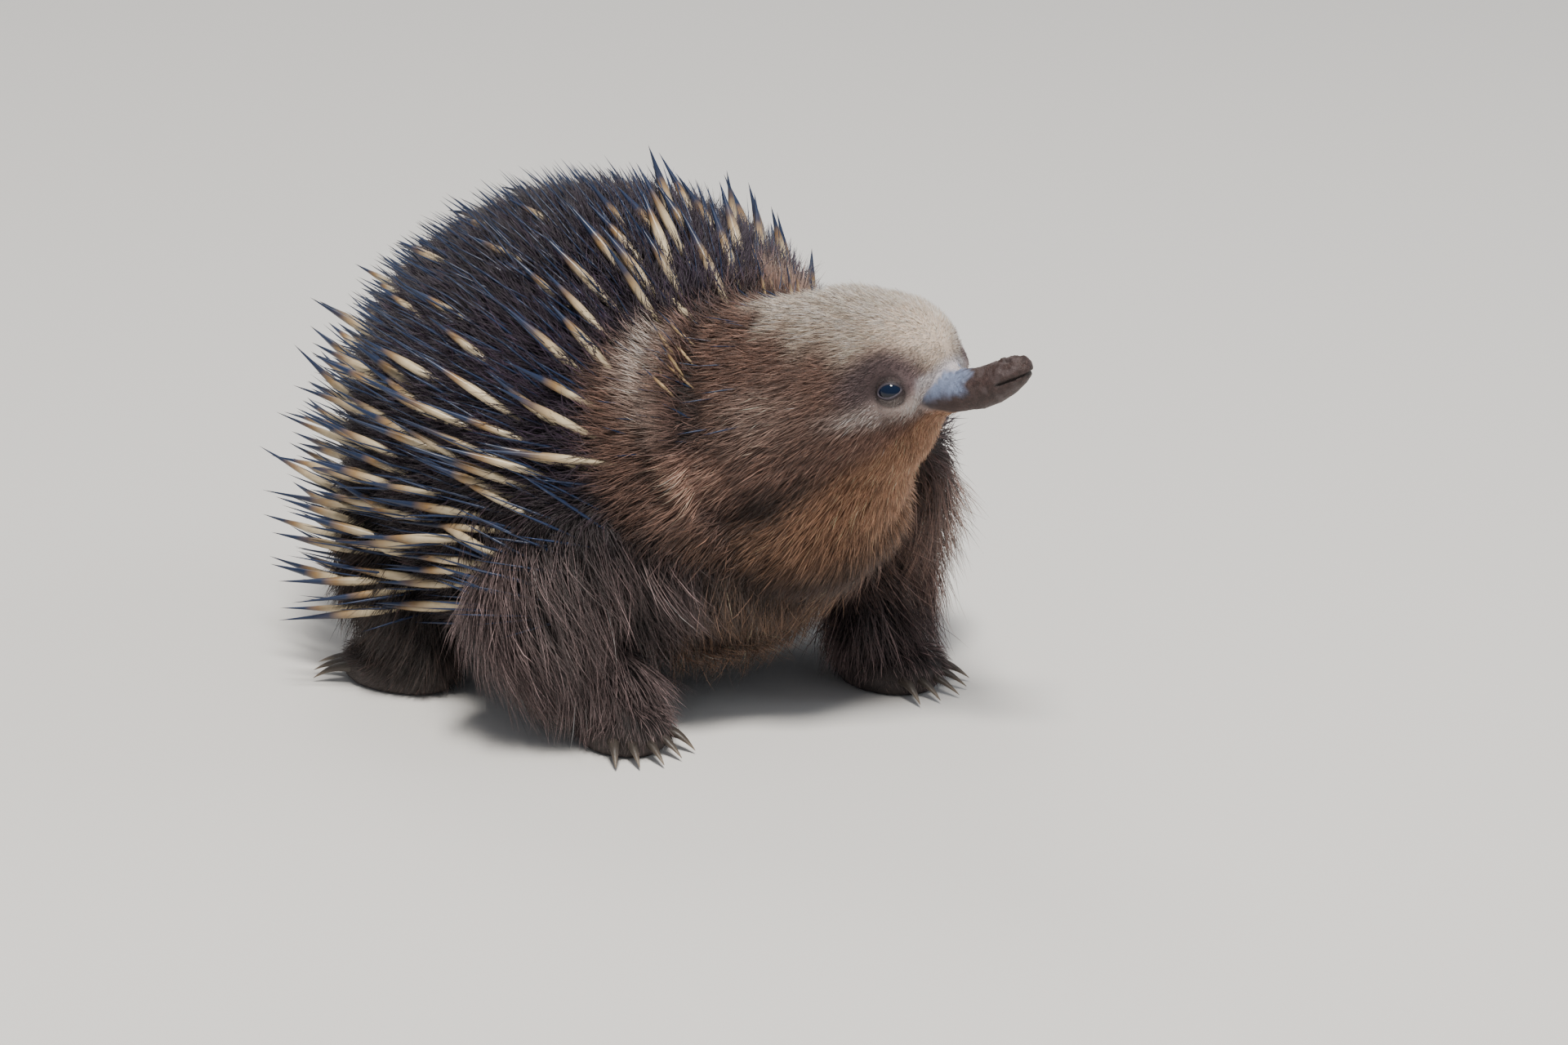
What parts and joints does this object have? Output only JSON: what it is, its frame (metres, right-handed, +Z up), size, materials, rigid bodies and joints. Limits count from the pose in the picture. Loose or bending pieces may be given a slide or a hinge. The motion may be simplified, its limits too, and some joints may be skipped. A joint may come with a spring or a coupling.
{
  "type": "echidna model",
  "caption": "Life-size still model of a standing short-beaked echidna with spines, long coat locks and a raised head turned to its left.",
  "frame": {"origin": "on the floor under the middle of the bounding box", "axes": "+Z up, the animal's trunk faces -Y, and its left side is +X"},
  "size_m": [0.2338, 0.3304, 0.1878],
  "materials": {
    "body_coat": "dense woolly dark brown fur with cream, dark-tipped spines",
    "face_coat": "short tan fur",
    "leg_coat": "long brown-grey guard hair",
    "beak_skin": "bare grey skin, earth-brown towards the tip",
    "eye": "wet gloss",
    "paw": "rough skin and worn horn claws"
  },
  "bodies": {
    "root": {"torso": "body_coat", "neck": "body_coat", "tail": "body_coat", "head": "face_coat", "ear_left": "face_coat", "ear_right": "face_coat", "beak": "beak_skin", "eye_left": "eye", "eye_right": "eye", "leg_front_left": "leg_coat", "leg_front_right": "leg_coat", "leg_hind_left": "leg_coat", "leg_hind_right": "leg_coat", "paw_front_left": "paw", "paw_front_right": "paw", "paw_hind_left": "paw", "paw_hind_right": "paw"}
  },
  "joints": []
}
